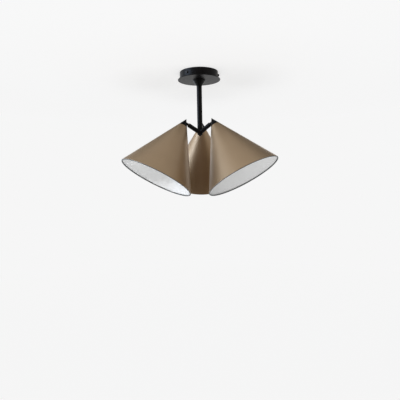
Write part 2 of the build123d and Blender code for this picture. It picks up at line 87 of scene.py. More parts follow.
def setCamera():
    yaw, pitch, roll = (radians(viewpoint[name]) for name in ("yaw", "pitch", "roll"))
    ahead = Vector((sin(yaw) * cos(pitch), cos(yaw) * cos(pitch), sin(pitch)))
    level = Vector((cos(yaw), -sin(yaw), 0))
    upright = level.cross(ahead)
    right = level * cos(roll) + upright * sin(roll)
    place = Matrix((right, upright * cos(roll) - level * sin(roll), -ahead)).transposed().to_4x4()
    place.translation = Vector(viewpoint["place"]) * mm
    camera = bpy.data.objects.new("camera", bpy.data.cameras.new("camera"))
    camera.data.sensor_fit = "HORIZONTAL"
    camera.data.sensor_width = viewpoint["sensorWidth"]
    camera.data.lens = viewpoint["lens"]
    camera.data.clip_start, camera.data.clip_end = viewpoint["clipStart"], viewpoint["clipEnd"]
    camera.matrix_world = place
    scene.collection.objects.link(camera)
    scene.camera = camera


setCamera()
print("camera set")


# Shader helpers
def link(tree, source, target):
    tree.links.new(source, target)
    return target


def addNode(tree, kind, **settings):
    node = tree.nodes.new("ShaderNode" + kind)
    for name, value in settings.items():
        setattr(node, name, value)
    return node


def mathNode(tree, operation, first, second=None):
    node = addNode(tree, "Math", operation=operation)
    for socket, value in zip(node.inputs, (first, second)):
        if isinstance(value, bpy.types.NodeSocket):
            tree.links.new(value, socket)
        elif value is not None:
            socket.default_value = value
    return node.outputs[0]


def newGroup(name, inputs, outputs):
    group = bpy.data.node_groups.new(name, "ShaderNodeTree")
    for label, kind in inputs.items():
        group.interface.new_socket(label, in_out="INPUT", socket_type="NodeSocket" + kind)
    for label, kind in outputs.items():
        group.interface.new_socket(label, in_out="OUTPUT", socket_type="NodeSocket" + kind)
    return group, group.nodes.new("NodeGroupInput").outputs, group.nodes.new("NodeGroupOutput").inputs


def spread(tree, value, low, high, start=0.3, end=0.7):
    # stretches a noise value over low to high
    node = addNode(tree, "MapRange")
    node.inputs["From Min"].default_value = start
    node.inputs["From Max"].default_value = end
    tree.links.new(value, node.inputs["Value"])
    for socket, limit in (("To Min", low), ("To Max", high)):
        if isinstance(limit, bpy.types.NodeSocket):
            tree.links.new(limit, node.inputs[socket])
        else:
            node.inputs[socket].default_value = limit
    return node.outputs["Result"]


def noise(tree, vector, scale, detail=3.0, rough=0.5):
    node = addNode(tree, "TexNoise")
    node.inputs["Detail"].default_value = detail
    node.inputs["Roughness"].default_value = rough
    tree.links.new(vector, node.inputs["Vector"])
    if isinstance(scale, bpy.types.NodeSocket):
        tree.links.new(scale, node.inputs["Scale"])
    else:
        node.inputs["Scale"].default_value = scale
    return node.outputs["Fac"]


def mixNoises(tree, slow, fine, look):
    slowPart = mathNode(tree, "MULTIPLY", slow, look["slowShare"])
    return mathNode(tree, "ADD", slowPart, mathNode(tree, "MULTIPLY", fine, look["fineShare"]))


# A slow noise mixed with a fine one: the slow scale is a share of the fine one, in rings it is its own
grainLook = {
    "slowScale": 0.06, "slowDetail": 2.0, "slowShare": 0.6,
    "fineDetail": 3.0, "fineRough": 0.6, "fineShare": 0.4,
}
ringLook = {
    "slowScale": 14.0, "slowDetail": 2.0, "slowShare": 0.5,
    "fineDetail": 4.0, "fineRough": 0.65, "fineShare": 0.5, "unevenness": 9.0,
}
dustLook = {
    "scale": 240.0, "detail": 5.0, "rough": 0.7, "facing": (0.2, 1.0), "thinnest": 0.1,
    "colour": (0.55, 0.54, 0.52), "amount": 0.02,
}


def makeSurfaceGrain():
    # fine isotropic grain: a roughness between two values, a height and a slow tone
    group, given, out = newGroup(
        "surfaceGrain",
        {"Vector": "Vector", "Fineness": "Float", "Smoothest": "Float", "Roughest": "Float"},
        {"Roughness": "Float", "Height": "Float", "Tone": "Float"},
    )
    slowScale = mathNode(group, "MULTIPLY", given["Fineness"], grainLook["slowScale"])
    slow = noise(group, given["Vector"], slowScale, grainLook["slowDetail"])
    fine = noise(
        group, given["Vector"], given["Fineness"], grainLook["fineDetail"], grainLook["fineRough"]
    )
    mixed = mixNoises(group, slow, fine, grainLook)
    link(group, spread(group, mixed, given["Smoothest"], given["Roughest"]), out["Roughness"])
    link(group, fine, out["Height"])
    link(group, slow, out["Tone"])
    return group


def makeSpunMarks():
    # hair-fine rings left round a spun or turned piece, on its own lathe coordinates
    group, given, out = newGroup(
        "spunMarks",
        {"Vector": "Vector", "Fineness": "Float", "Smoothest": "Float", "Roughest": "Float"},
        {"Roughness": "Float", "Height": "Float", "Tone": "Float"},
    )
    parts = addNode(group, "SeparateXYZ")
    link(group, given["Vector"], parts.inputs[0])
    x, y, z = parts.outputs
    xSquare, ySquare = mathNode(group, "MULTIPLY", x, x), mathNode(group, "MULTIPLY", y, y)
    radius = mathNode(group, "SQRT", mathNode(group, "ADD", xSquare, ySquare))
    rings = addNode(group, "CombineXYZ")
    link(group, mathNode(group, "MULTIPLY", radius, given["Fineness"]), rings.inputs["X"])
    link(group, mathNode(group, "MULTIPLY", z, given["Fineness"]), rings.inputs["Y"])
    link(group, mathNode(group, "MULTIPLY", x, ringLook["unevenness"]), rings.inputs["Z"])
    fine = noise(group, rings.outputs[0], 1.0, ringLook["fineDetail"], ringLook["fineRough"])
    slow = noise(group, given["Vector"], ringLook["slowScale"], ringLook["slowDetail"])
    mixed = mixNoises(group, slow, fine, ringLook)
    link(group, spread(group, mixed, given["Smoothest"], given["Roughest"]), out["Roughness"])
    link(group, fine, out["Height"])
    link(group, slow, out["Tone"])
    return group


def makeDustFall():
    # a thin settled film on faces that look up
    group, given, out = newGroup("dustFall", {"Vector": "Vector", "Amount": "Float"}, {"Mask": "Float"})
    facing = addNode(group, "SeparateXYZ")
    link(group, addNode(group, "NewGeometry").outputs["Normal"], facing.inputs[0])
    upward = spread(group, facing.outputs["Z"], 0.0, 1.0, *dustLook["facing"])
    specks = noise(group, given["Vector"], dustLook["scale"], dustLook["detail"], dustLook["rough"])
    specks = spread(group, specks, dustLook["thinnest"], 1.0)
    settled = mathNode(group, "MULTIPLY", upward, specks)
    link(group, mathNode(group, "MULTIPLY", settled, given["Amount"]), out["Mask"])
    return group


surfaceGrain, spunMarks, dustFall = makeSurfaceGrain(), makeSpunMarks(), makeDustFall()


def finish(name, look):
    # one procedural finish from its dictionary: base colour, second tone, grain or rings, bump and dust
    material = bpy.data.materials.new(name)
    material.use_nodes = True
    tree = material.node_tree
    shader = tree.nodes["Principled BSDF"]
    if look.get("turned"):
        place = addNode(
            tree, "Attribute", attribute_type="GEOMETRY", attribute_name="turned"
        ).outputs["Vector"]
    else:
        place = addNode(tree, "TexCoord").outputs["Object"]
    pattern = addNode(tree, "Group", node_tree=spunMarks if look.get("turned") else surfaceGrain)
    link(tree, place, pattern.inputs["Vector"])
    pattern.inputs["Fineness"].default_value = look["fineness"]
    pattern.inputs["Smoothest"].default_value, pattern.inputs["Roughest"].default_value = look["roughness"]
    link(tree, pattern.outputs["Roughness"], shader.inputs["Roughness"])

    tones = addNode(tree, "Mix", data_type="RGBA")
    tones.inputs["A"].default_value = (*look["colour"], 1)
    tones.inputs["B"].default_value = (*look["secondTone"], 1)
    link(tree, spread(tree, pattern.outputs["Tone"], 0.0, 1.0), tones.inputs["Factor"])
    dust = addNode(tree, "Group", node_tree=dustFall)
    dust.inputs["Amount"].default_value = look.get("dust", dustLook["amount"])
    link(tree, addNode(tree, "TexCoord").outputs["Object"], dust.inputs["Vector"])
    dusted = addNode(tree, "Mix", data_type="RGBA")
    dusted.inputs["B"].default_value = (*dustLook["colour"], 1)
    link(tree, dust.outputs["Mask"], dusted.inputs["Factor"])
    link(tree, tones.outputs["Result"], dusted.inputs["A"])
    link(tree, dusted.outputs["Result"], shader.inputs["Base Color"])

    bump = addNode(tree, "Bump")
    bump.inputs["Strength"].default_value = look["bump"]
    bump.inputs["Distance"].default_value = look["bumpDepth"] * mm
    link(tree, pattern.outputs["Height"], bump.inputs["Height"])
    link(tree, bump.outputs["Normal"], shader.inputs["Normal"])
    for socket, value in look.get("shader", {}).items():
        shader.inputs[socket].default_value = value
    material.diffuse_color = (*look["colour"], 1)
    return material


finishes = {
    "black_paint": {
        "colour": (0.003, 0.003, 0.0033), "secondTone": (0.005, 0.005, 0.0055), "fineness": 1500,
        "roughness": (0.32, 0.40), "bump": 0.08, "bumpDepth": 0.04, "dust": 0.003,
        "shader": {"Specular IOR Level": 0.1},
    },
    "black_screw": {
        "colour": (0.02, 0.02, 0.021), "secondTone": (0.035, 0.034, 0.034), "fineness": 2500,
        "roughness": (0.28, 0.42), "bump": 0.15, "bumpDepth": 0.02, "shader": {"Metallic": 0.6},
    },
    "bronze_aluminium": {
        "colour": (0.345, 0.241, 0.140), "secondTone": (0.33, 0.230, 0.133), "fineness": 1700,
        "roughness": (0.50, 0.56), "bump": 0.03, "bumpDepth": 0.02, "dust": 0.01, "turned": True,
        "shader": {
            "Metallic": 0.94, "Specular Tint": (0.70, 0.68, 0.65, 1),
            "Coat Weight": 0.6, "Coat Roughness": 0.38,
        },
    },
    "whiteInside": {
        "colour": (0.88, 0.88, 0.875), "secondTone": (0.86, 0.86, 0.855), "fineness": 1300,
        "roughness": (0.30, 0.38), "bump": 0.04, "bumpDepth": 0.03, "dust": 0.0,
    },
    # rim: dark grey metal painted on the bead's inner side as the shade under the rolled rim
    "rimShadeMetal": {
        "colour": (0.10, 0.105, 0.105), "secondTone": (0.085, 0.09, 0.09), "fineness": 1700,
        "roughness": (0.45, 0.55), "bump": 0.02, "bumpDepth": 0.02, "dust": 0.0, "turned": True,
        "shader": {"Metallic": 0.2},
    },
    "zinc_steel": {
        "colour": (0.60, 0.61, 0.61), "secondTone": (0.48, 0.50, 0.52), "fineness": 900,
        "roughness": (0.26, 0.42), "bump": 0.12, "bumpDepth": 0.02, "shader": {"Metallic": 1.0},
    },
    "brass_part": {
        "colour": (0.70, 0.51, 0.22), "secondTone": (0.60, 0.42, 0.17), "fineness": 1400,
        "roughness": (0.20, 0.34), "bump": 0.08, "bumpDepth": 0.02, "shader": {"Metallic": 1.0},
    },
    "white_nylon": {
        "colour": (0.80, 0.79, 0.74), "secondTone": (0.74, 0.73, 0.68), "fineness": 1200,
        "roughness": (0.40, 0.55), "bump": 0.15, "bumpDepth": 0.03,
    },
    "black_plastic": {
        "colour": (0.016, 0.016, 0.016), "secondTone": (0.022, 0.021, 0.020), "fineness": 800,
        "roughness": (0.24, 0.36), "bump": 0.10, "bumpDepth": 0.03,
    },
    "ceramic": {
        "colour": (0.80, 0.78, 0.72), "secondTone": (0.74, 0.72, 0.66), "fineness": 700,
        "roughness": (0.45, 0.62), "bump": 0.2, "bumpDepth": 0.04,
    },
    "lead_sleeve": {
        "colour": (0.05, 0.05, 0.05), "secondTone": (0.065, 0.065, 0.065), "fineness": 1500,
        "roughness": (0.50, 0.65), "bump": 0.2, "bumpDepth": 0.03,
    },
    "opal_glass": {
        "colour": (0.88, 0.87, 0.84), "secondTone": (0.84, 0.83, 0.80), "fineness": 300,
        "roughness": (0.18, 0.26), "bump": 0.03, "bumpDepth": 0.05, "shader": {"Coat Weight": 0.3},
    },
    "nickel_cap": {
        "colour": (0.66, 0.65, 0.61), "secondTone": (0.56, 0.55, 0.51), "fineness": 1600,
        "roughness": (0.22, 0.34), "bump": 0.08, "bumpDepth": 0.02, "shader": {"Metallic": 1.0},
    },
    "blackInsulator": {
        "colour": (0.01, 0.01, 0.012), "secondTone": (0.018, 0.018, 0.02), "fineness": 700,
        "roughness": (0.12, 0.22), "bump": 0.05, "bumpDepth": 0.03,
    },
}
materials = {name: finish(name, look) for name, look in finishes.items()}
print("finishes made:", len(materials))

# Carried-over CAD nodes take the finish of their slot
nodeSlots = {part["node"]: part["material_slot"] for part in frame["record"]["subparts"]}
for node, slotName in nodeSlots.items():
    mesh = frame["nodes"][node].data
    mesh.materials.clear()
    mesh.materials.append(materials["whiteInside" if slotName == "bronze_aluminium" else slotName])


# Modelling helpers
def lathe(outline, steps=96):
    # spins an outline of (radius, height, rounding) corners; both ends on the axis leave it solid
    mesh = bmesh.new()
    corners = [mesh.verts.new((corner[0] * mm, 0, corner[1] * mm)) for corner in outline]
    solid = outline[0][0] == 0 and outline[-1][0] == 0
    followers = corners[1:] if solid else corners[1:] + corners[:1]
    for start, end in zip(corners, followers):
        mesh.edges.new((start, end))
    roundings = {}
    for corner, vert in zip(outline, corners):
        if len(corner) > 2:
            roundings.setdefault(corner[2], []).append(vert)
    for rounding, verts in roundings.items():
        bmesh.ops.bevel(
            mesh, geom=verts, offset=rounding * mm, offset_type="OFFSET", segments=3,
            profile=0.5, affect="VERTICES", material=-1, clamp_overlap=True,
        )
    bmesh.ops.spin(
        mesh, geom=mesh.verts[:] + mesh.edges[:], cent=(0, 0, 0), axis=(0, 0, 1),
        angle=2 * pi, steps=steps, use_merge=True,
    )
    bmesh.ops.remove_doubles(mesh, verts=mesh.verts, dist=weldDistance)
    bmesh.ops.recalc_face_normals(mesh, faces=mesh.faces)
    return mesh


def arc(centre, radius, start, end, steps):
    # corners along an arc, angles in degrees from the outward radius towards +height
    angles = [radians(start + (end - start) * i / steps) for i in range(steps + 1)]
    return [(centre[0] + radius * cos(angle), centre[1] + radius * sin(angle)) for angle in angles]


def thread(radius, depth, pitch, start, end):
    # rolled rings: a crest and a root for each turn
    turns = int(abs(end - start) / pitch)
    step = (end - start) / turns
    corners = []
    for turn in range(turns):
        corners.append((radius - depth, start + turn * step))
        corners.append((radius, start + (turn + 0.5) * step))
    return corners + [(radius - depth, end)]


def addPiece(name, mesh, finishNames, body, nodes, place=None, sharpness=38):
    # keeps the lathe coordinates, puts the piece in place, smooths it, hangs it under its body and hides the CAD
    # nodes it stands in for
    turned = mesh.verts.layers.float_vector.new("turned")
    for vert in mesh.verts:
        vert[turned] = vert.co
    if place is not None:
        mesh.transform(place)
    data = bpy.data.meshes.new(name)
    mesh.to_mesh(data)
    mesh.free()
    data.shade_smooth()
    data.set_sharp_from_angle(angle=radians(sharpness))
    for finishName in finishNames:
        data.materials.append(materials[finishName])
    piece = bpy.data.objects.new(name, data)
    scene.collection.objects.link(piece)
    evened = piece.modifiers.new("evenedNormals", "WEIGHTED_NORMAL")
    evened.keep_sharp = True
    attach(piece, body)
    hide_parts(*nodes)
    return piece


def tempObject(mesh):
    data = bpy.data.meshes.new("temporary")
    mesh.to_mesh(data)
    mesh.free()
    piece = bpy.data.objects.new("temporary", data)
    scene.collection.objects.link(piece)
    return piece


def cut(mesh, tool):
    # takes one bmesh out of another, given back as a bmesh
    base, cutter = tempObject(mesh), tempObject(tool)
    modifier = base.modifiers.new("cut", "BOOLEAN")
    modifier.operation, modifier.solver, modifier.object = "DIFFERENCE", "EXACT", cutter
    result = bmesh.new()
    result.from_object(base, bpy.context.evaluated_depsgraph_get())
    for piece in (base, cutter):
        data = piece.data
        bpy.data.objects.remove(piece)
        bpy.data.meshes.remove(data)
    return result


def block(size, centre):
    mesh = bmesh.new()
    bmesh.ops.create_cube(mesh, size=mm)
    bmesh.ops.scale(mesh, vec=size, verts=mesh.verts)
    bmesh.ops.translate(mesh, vec=Vector(centre) * mm, verts=mesh.verts)
    return mesh


softened = {"flatAngle": 1, "sharpness": 30, "bevelAngle": 40, "segments": 2}  # angles in degrees


def softCopy(name, node, finishName, edge):
    # a merged copy of a fixed CAD node with its edges broken by a fine bevel
    mesh = bmesh.new()
    mesh.from_mesh(frame["nodes"][node].data)
    bmesh.ops.remove_doubles(mesh, verts=mesh.verts, dist=weldDistance)
    bmesh.ops.dissolve_limit(
        mesh, angle_limit=radians(softened["flatAngle"]), verts=mesh.verts, edges=mesh.edges
    )
    for face in mesh.faces:
        face.material_index = 0
    piece = addPiece(
        name, mesh, (finishName,), "body", (node,), sharpness=softened["sharpness"]
    )
    if edge:
        bevel = piece.modifiers.new("brokenEdges", "BEVEL")
        bevel.width, bevel.segments = edge * mm, softened["segments"]
        bevel.limit_method, bevel.angle_limit = "ANGLE", radians(softened["bevelAngle"])
        piece.modifiers.move(1, 0)


# Canopy: a drum against the ceiling, closed by a wider disc
canopy = {
    "radius": 56.5, "wall": 1.2, "depth": 21, "floor": 1.5, "hole": 5.2, "discRadius": 62.5, "disc": 2,
    "foldEdge": 0.6, "rimEdge": 0.35, "discEdge": 0.8, "steps": 160,
}


def makeCanopy():
    outer, inner = canopy["radius"], canopy["radius"] - canopy["wall"]
    bottom = -canopy["depth"]
    floor = bottom + canopy["floor"]
    cup = lathe([
        (canopy["hole"], bottom), (outer, bottom, canopy["foldEdge"]), (outer, 0, canopy["rimEdge"]),
        (inner, 0, canopy["rimEdge"]), (inner, floor, canopy["foldEdge"]), (canopy["hole"], floor),
    ], canopy["steps"])
    addPiece("canopyCup", cup, ("black_paint",), "body", ("canopy_cup",))
    under = bottom - canopy["disc"]
    disc = lathe([
        (canopy["hole"], under), (canopy["discRadius"], under, canopy["discEdge"]),
        (canopy["discRadius"], bottom, canopy["discEdge"]), (canopy["hole"], bottom),
    ], canopy["steps"])
    addPiece("canopyDisc", disc, ("black_paint",), "body", ("canopy_disc",))


makeCanopy()

# Round-headed side screws, with a driver slot and a rolled thread
sideScrew = {
    "azimuths": (0, 120, 240), "depth": 11, "seat": 56.55, "head": 3.4, "headHeight": 3.2, "shank": 1.95,
    "reach": 8, "pitch": 0.7, "threadDepth": 0.3, "threadTop": -0.6, "plainTop": -0.3, "edge": 0.2,
    "domeDrop": 1.3, "domeInset": 0.9, "domeShoulder": 0.35, "domeRound": 0.5, "crownInset": 1.9,
    "slotWidth": 0.9, "slotDepth": 1.0, "slotOverrun": 0.5, "steps": 40,
}


def makeSideScrews():
    head, top, shank = sideScrew["head"], sideScrew["headHeight"], sideScrew["shank"]
    threadEnd = -sideScrew["reach"] + sideScrew["pitch"]
    outline = [(0, -sideScrew["reach"]), (shank - sideScrew["threadDepth"], -sideScrew["reach"])]
    outline += thread(shank, sideScrew["threadDepth"], sideScrew["pitch"], threadEnd, sideScrew["threadTop"])
    outline += [
        (shank, sideScrew["plainTop"]), (shank, 0), (head, 0, sideScrew["edge"]),
        (head, top - sideScrew["domeDrop"], sideScrew["edge"]),
        (head - sideScrew["domeInset"], top - sideScrew["domeShoulder"], sideScrew["domeRound"]),
        (head - sideScrew["crownInset"], top), (0, top),
    ]
    slotLength = 2 * (head + sideScrew["slotOverrun"])
    slotSize = (slotLength, sideScrew["slotWidth"], 2 * sideScrew["slotDepth"])
    screws = bmesh.new()
    for azimuth in sideScrew["azimuths"]:
        screw = cut(lathe(outline, sideScrew["steps"]), block(slotSize, (0, 0, top)))
        outwards = Matrix.Rotation(radians(azimuth), 4, "Z") @ Matrix.Rotation(pi / 2, 4, "Y")
        shift = Matrix.Translation(Vector((0, 0, -sideScrew["depth"])) * mm)
        screw.transform(shift @ outwards @ Matrix.Translation((0, 0, sideScrew["seat"] * mm)))
        data = bpy.data.meshes.new("temporary")
        screw.to_mesh(data)
        screw.free()
        screws.from_mesh(data)
        bpy.data.meshes.remove(data)
    addPiece("sideScrews", screws, ("black_screw",), "body", ("canopy_screws",))


makeSideScrews()

# Stem with its conical collar
stem = {
    "radius": 7.75, "bore": 5.05, "top": -27, "bottom": -162, "edge": 0.3, "disc": -23, "collar": 18.6,
    "collarFoot": -39, "collarLip": 1, "lipEdge": 0.35, "footWall": 0.8, "footEdge": 0.3, "gap": 0.1,
}


def makeStem():
    seat = stem["radius"] + stem["gap"]
    collar = lathe([
        (canopy["hole"], stem["disc"]), (stem["collar"], stem["disc"]),
        (stem["collar"], stem["disc"] - stem["collarLip"], stem["lipEdge"]),
        (stem["radius"] + stem["footWall"], stem["collarFoot"], stem["footEdge"]), (seat, stem["collarFoot"]),
        (seat, stem["top"]), (canopy["hole"], stem["top"]),
    ])
    addPiece("stemCollar", collar, ("black_paint",), "body", ("stem_collar",))
    tube = lathe([
        (stem["bore"], stem["top"]), (stem["radius"], stem["top"]),
        (stem["radius"], stem["bottom"], stem["edge"]), (stem["bore"], stem["bottom"]),
    ])
    addPiece("stemTube", tube, ("black_paint",), "body", ("stem",))


makeStem()

# Hub and finial
finial = {
    "stud": 2, "studTop": -177.2, "seat": -180.2, "edge": 0.8, "tip": 1.0, "bottom": -186.2,
    "tipRound": 0.4, "skirtRound": 0.35, "seatRound": 0.25,
}


def makeFinial():
    mesh = lathe([
        (0, finial["bottom"]), (finial["tip"], finial["bottom"], finial["tipRound"]),
        (stem["radius"], finial["seat"] - finial["edge"], finial["skirtRound"]),
        (stem["radius"], finial["seat"], finial["seatRound"]), (finial["stud"], finial["seat"]),
        (finial["stud"], finial["studTop"]), (0, finial["studTop"]),
    ])
    addPiece("hubFinial", mesh, ("black_paint",), "body", ("finial",))


makeFinial()
softCopy("armHub", "hub", "black_paint", 0)

# Arms and necks, along the arm from the hub's centre
arm = {
    "radius": 6.25, "bore": 4.5, "start": 14, "end": 42.5, "chamfer": 0.8,
    "startRound": 0.25, "chamferRound": 0.3, "endRound": 0.2, "steps": 64,
}
neck = {
    "bore": 1.8, "journal": 3, "radius": 4, "start": 28.355, "shoulder": 42.6, "end": 52.5,
    "startRound": 0.2, "shoulderRound": 0.25, "steps": 48,
}


def makeArm(side):
    place, head = armPlace(side), side + "_head"
    tube = lathe([
        (arm["bore"], arm["start"]), (arm["radius"], arm["start"], arm["startRound"]),
        (arm["radius"], arm["end"] - arm["chamfer"], arm["chamferRound"]),
        (arm["radius"] - arm["chamfer"], arm["end"], arm["endRound"]),
        (arm["bore"], arm["end"], arm["endRound"]),
    ], arm["steps"])
    addPiece(side + "ArmTube", tube, ("black_paint",), "body", (side + "_arm",), place)
    rod = lathe([
        (neck["bore"], neck["start"]), (neck["journal"], neck["start"], neck["startRound"]),
        (neck["journal"], neck["shoulder"]), (neck["radius"], neck["shoulder"], neck["shoulderRound"]),
        (neck["radius"], neck["end"]), (neck["bore"], neck["end"]),
    ], neck["steps"])
    addPiece(side + "Neck", rod, ("black_paint",), head, (side + "_neck",), place)


# Cap: the black point of the cone, bored for the lead and the nipple
cap = {
    "height": 24, "chamber": 2.9, "chamberTop": 10.2, "seat": 5.05, "seatTop": 16.8,
    "skirtRound": 0.3, "seatRound": 0.2, "steps": 80,
}


def makeCap(side):
    mesh = lathe([
        (0, 0), (cap["height"] * tan(coneAngle), cap["height"], cap["skirtRound"]),
        (cap["seat"], cap["height"], cap["seatRound"]), (cap["seat"], cap["seatTop"]),
        (cap["chamber"], cap["seatTop"]), (cap["chamber"], cap["chamberTop"]), (0, cap["chamberTop"]),
    ], cap["steps"])
    addPiece(
        side + "Cap", mesh, ("black_paint",), side + "_head", (side + "_cap",), headPlace(side)
    )


# Shade: thin spun cone, its rim rolled inwards to a bead
shade = {
    "slant": 226.4, "wall": 1.2, "bead": 1.8, "hole": 5.2, "rollEnd": 282, "rollSteps": 22, "trim": 0.03,
    "rollLap": 1.9, "topRound": 0.5, "innerTopRound": 1.2, "wallShare": 0.5, "rimShare": 0.3, "steps": 200,
}


def makeShade(side):
    top = cap["height"]
    out = Vector((cos(coneAngle), -sin(coneAngle)))  # square to the outer face, in (radius, height)
    along = Vector((sin(coneAngle), cos(coneAngle)))
    wallEnd = along * (shade["slant"] - shade["bead"])
    beadCentre = wallEnd - out * shade["bead"]
    rollStart = -degrees(coneAngle)
    roll = arc(
        beadCentre, shade["bead"] - shade["trim"], rollStart, shade["rollEnd"] + rollStart, shade["rollSteps"]
    )
    innerEnd = wallEnd - out * shade["wall"] - along * shade["rollLap"]
    innerTop = top + shade["wall"]
    innerTopRadius = (innerTop - shade["wall"] / sin(coneAngle)) * tan(coneAngle)
    mesh = lathe(
        [(shade["hole"], top), (top * tan(coneAngle), top, shade["topRound"])] + roll
        + [tuple(innerEnd), (innerTopRadius, innerTop, shade["innerTopRound"]), (shade["hole"], innerTop)],
        shade["steps"],
    )
    # bronze outside the middle of the wall, white inside it, and dark grey on the bead's inner side and the wall
    # next to it: painted shade under the rolled rim
    wallLine = shade["wall"] * shade["wallShare"] * mm
    rimLine = shade["rimShare"] * shade["bead"] * mm
    beadStart = (shade["slant"] - 2 * shade["bead"]) * mm
    for face in mesh.faces:
        centre = face.calc_center_median()
        radial = Vector((centre.xy.length, centre.z))
        depth = -radial.dot(out)  # from the outer face into the wall
        if radial.dot(along) > beadStart:
            face.material_index = 2 if depth > rimLine else 0
        elif depth > wallLine:
            face.material_index = 1
    names = ("bronze_aluminium", "whiteInside", "rimShadeMetal")
    addPiece(
        side + "Shade", mesh, names, side + "_head", (side + "_shade",), headPlace(side)
    )


# Lampholder: domed cap and a ribbed skirt
holder = {
    "boss": 7.5, "bossEnd": 35, "radius": 17.5, "shoulder": 43, "joint": 55, "end": 87, "wall": 1.5,
    "bore": 14.4, "top": 31, "ledge": 47, "ledgeRadius": 12, "throat": 7, "throatEnd": 40, "nippleEnd": 37,
    "core": 51, "ribsFrom": 58, "ribsTo": 82, "ribDepth": 0.35, "ribInset": 0.18, "ribBand": 0.3, "fit": 0.1,
    "midReach": 1, "nippleHole": 5.05, "bossEdge": 0.5, "bossFoot": 1.0, "shoulderRound": 1.6,
    "jointEdge": 0.3, "endRound": 0.7, "boreRound": 0.6, "capSteps": 80, "skirtSteps": 120, "sharpness": 30,
}


def makeHolder(side):
    inner = holder["radius"] - holder["wall"]
    joint = (holder["radius"], holder["joint"], holder["jointEdge"])
    dome = lathe([
        (holder["nippleHole"], holder["top"]), (holder["boss"], holder["top"], holder["bossEdge"]),
        (holder["boss"], holder["bossEnd"], holder["bossFoot"]),
        (holder["radius"], holder["shoulder"], holder["shoulderRound"]), joint,
        (inner, holder["joint"]), (inner, holder["ledge"]), (holder["ledgeRadius"], holder["ledge"]),
        (holder["throat"], holder["throatEnd"]), (holder["throat"], holder["nippleEnd"]),
        (holder["nippleHole"], holder["nippleEnd"]),
    ], holder["capSteps"])
    addPiece(
        side + "HolderCap", dome, ("black_plastic",), side + "_head",
        (side + "_holder_cap",), headPlace(side),
    )
    spigot = inner - holder["fit"]
    skirt = lathe([
        (holder["bore"], holder["core"]), (spigot, holder["core"]), (spigot, holder["joint"]), joint,
        (holder["radius"], holder["ribsFrom"]), (holder["radius"], holder["ribsTo"]),
        (holder["radius"], holder["end"], holder["endRound"]),
        (holder["bore"], holder["end"], holder["boreRound"]),
    ], holder["skirtSteps"])
    # the outer faces halfway up the ribs, every other one sunk
    middle = (holder["ribsFrom"] + holder["ribsTo"]) / 2 * mm
    band = [
        face for face in skirt.faces
        if abs(face.calc_center_median().z - middle) < holder["midReach"] * mm
        and face.calc_center_median().xy.length > (holder["radius"] - holder["ribBand"]) * mm
    ]
    band.sort(key=lambda face: Vector((1, 0)).angle_signed(face.calc_center_median().xy))
    bmesh.ops.inset_individual(
        skirt, faces=band[::2], thickness=holder["ribInset"] * mm, depth=-holder["ribDepth"] * mm
    )
    addPiece(
        side + "HolderSkirt", skirt, ("black_plastic",), side + "_head",
        (side + "_holder_skirt",), headPlace(side), holder["sharpness"],
    )


# Bulb: opal globe on a rolled screw base
bulb = {
    "radius": 30, "end": 167, "neck": 12.2, "flare": 40, "wall": 1.0, "start": 77, "base": 13, "baseEnd": 89,
    "contact": 61, "contactRadius": 3.2, "shoulder": 65.5, "shoulderRadius": 9.5, "threadFrom": 67,
    "threadTo": 85.5, "pitch": 3.63, "threadDepth": 0.5, "threadSteps": 40, "baseWall": 0.6,
    "threadLead": 0.4, "plainStart": 1.2, "contactRound": 0.5, "shoulderRound": 0.3, "endRound": 0.2,
    "insulatorStart": 0.1, "globeSteps": 40, "flareSteps": 14, "steps": 96, "baseSteps": 72, "sharpness": 60,
}


def globeOutline(inset):
    ball, centre = bulb["radius"], bulb["end"] - bulb["radius"]
    flare = radians(bulb["flare"])
    flareRadius = (ball * cos(flare) - bulb["neck"]) / (1 - cos(flare))
    neckHeight = centre - (ball + flareRadius) * sin(flare)
    globe = arc((0, centre), ball - inset, 90, -bulb["flare"], bulb["globeSteps"])
    flareCentre = (bulb["neck"] + flareRadius, neckHeight)
    flareArc = arc(flareCentre, flareRadius + inset, 180 - bulb["flare"], 180, bulb["flareSteps"])
    globe[0] = (0, centre + ball - inset)
    return globe + flareArc[1:] + [(bulb["neck"] - inset, bulb["start"])]


def makeBulb(side):
    outside = globeOutline(0)
    inside = globeOutline(bulb["wall"])
    glass = lathe(outside + inside[::-1], bulb["steps"])
    addPiece(
        side + "BulbGlobe", glass, ("opal_glass",), side + "_head",
        (side + "_bulb_glass",), headPlace(side), bulb["sharpness"],
    )
    inner = bulb["base"] - bulb["baseWall"]
    root = inner - bulb["threadDepth"]
    shell = [
        (0, bulb["contact"]), (bulb["contactRadius"], bulb["contact"], bulb["contactRound"]),
        (bulb["shoulderRadius"], bulb["shoulder"], bulb["shoulderRound"]),
        (inner, bulb["threadFrom"] - bulb["threadLead"], bulb["shoulderRound"]),
    ]
    steps = bulb["threadSteps"]
    for step in range(steps + 1):
        height = bulb["threadFrom"] + (bulb["threadTo"] - bulb["threadFrom"]) * step / steps
        wave = 0.5 - 0.5 * cos(2 * pi * (height - bulb["threadFrom"]) / bulb["pitch"])
        shell.append((bulb["base"] - bulb["threadDepth"] * (1 - wave), height))
    shell += [
        (bulb["base"], bulb["threadTo"] + bulb["plainStart"]),
        (bulb["base"], bulb["baseEnd"], bulb["endRound"]),
        (inner, bulb["baseEnd"]), (root, bulb["threadTo"]), (root, bulb["threadFrom"] + bulb["baseWall"]),
        (0, bulb["contact"] + bulb["baseWall"]),
    ]
    base = lathe(shell, bulb["baseSteps"])
    insulatorStart = (bulb["contactRadius"] + bulb["insulatorStart"]) * mm
    for face in base.faces:
        centre = face.calc_center_median()
        if centre.z < bulb["shoulder"] * mm and centre.xy.length > insulatorStart:
            face.material_index = 1
    addPiece(
        side + "BulbBase", base, ("nickel_cap", "blackInsulator"), side + "_head",
        (side + "_bulb_base",), headPlace(side),
    )


for side in sides:
    makeArm(side)
    makeCap(side)
    makeShade(side)
    makeHolder(side)
    makeBulb(side)
    print(side, "head made")

